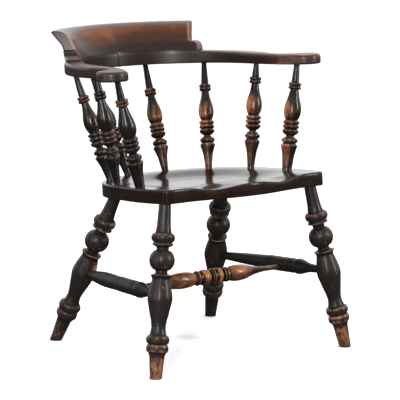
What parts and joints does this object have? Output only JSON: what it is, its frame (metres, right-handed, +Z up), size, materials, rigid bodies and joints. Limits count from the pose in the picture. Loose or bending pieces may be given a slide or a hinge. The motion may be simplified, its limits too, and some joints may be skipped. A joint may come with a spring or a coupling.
{
  "type": "captains chair",
  "caption": "Low-backed wooden armchair: saddled seat, splayed turned legs with stretchers, turned spindles, curved flat arms ending in round paddles, and a rolled crest rail.",
  "frame": {"origin": "middle of the footprint box, on the floor that the feet stand on", "axes": "+Z up; -Y is the way a seated person faces; +X is the chair's right as seen from the front"},
  "size_m": [0.665, 0.6598, 0.7736],
  "materials": {
    "seat_wood": "dark brown stain, polished by use, worn along the front edge",
    "arm_wood": "dark brown stain, glossy, worn orange brown on the tops",
    "crest_wood": "dark red brown stain, glossy, worn orange brown on the front",
    "leg_wood": "near-black stain, satin, worn brown at the feet",
    "spindle_wood": "near-black stain, glossy, worn orange brown on the rings",
    "side_stretcher_wood": "near-black stain, satin",
    "worn_stretcher_wood": "stain worn off to golden brown, black in the grooves",
    "dowel_wood": "unfinished, hidden",
    "screw_steel": "dull"
  },
  "bodies": {
    "root": {"seat": "seat_wood", "arm_left": "arm_wood", "arm_right": "arm_wood", "crest_rail": "crest_wood", "leg_front_left": "leg_wood", "leg_back_left": "leg_wood", "side_stretcher_left": "side_stretcher_wood", "arm_post_left": "spindle_wood", "spindle_side_left": "spindle_wood", "spindle_corner_left": "spindle_wood", "spindle_back_left": "spindle_wood", "leg_front_right": "leg_wood", "leg_back_right": "leg_wood", "side_stretcher_right": "side_stretcher_wood", "arm_post_right": "spindle_wood", "spindle_side_right": "spindle_wood", "spindle_corner_right": "spindle_wood", "spindle_back_right": "spindle_wood", "cross_stretcher": "worn_stretcher_wood", "crest_screw_1": "screw_steel", "crest_screw_2": "screw_steel", "crest_screw_3": "screw_steel", "crest_screw_4": "screw_steel", "crest_screw_5": "screw_steel", "crest_screw_6": "screw_steel", "joint_dowel_upper": "dowel_wood", "joint_dowel_lower": "dowel_wood"}
  },
  "joints": []
}
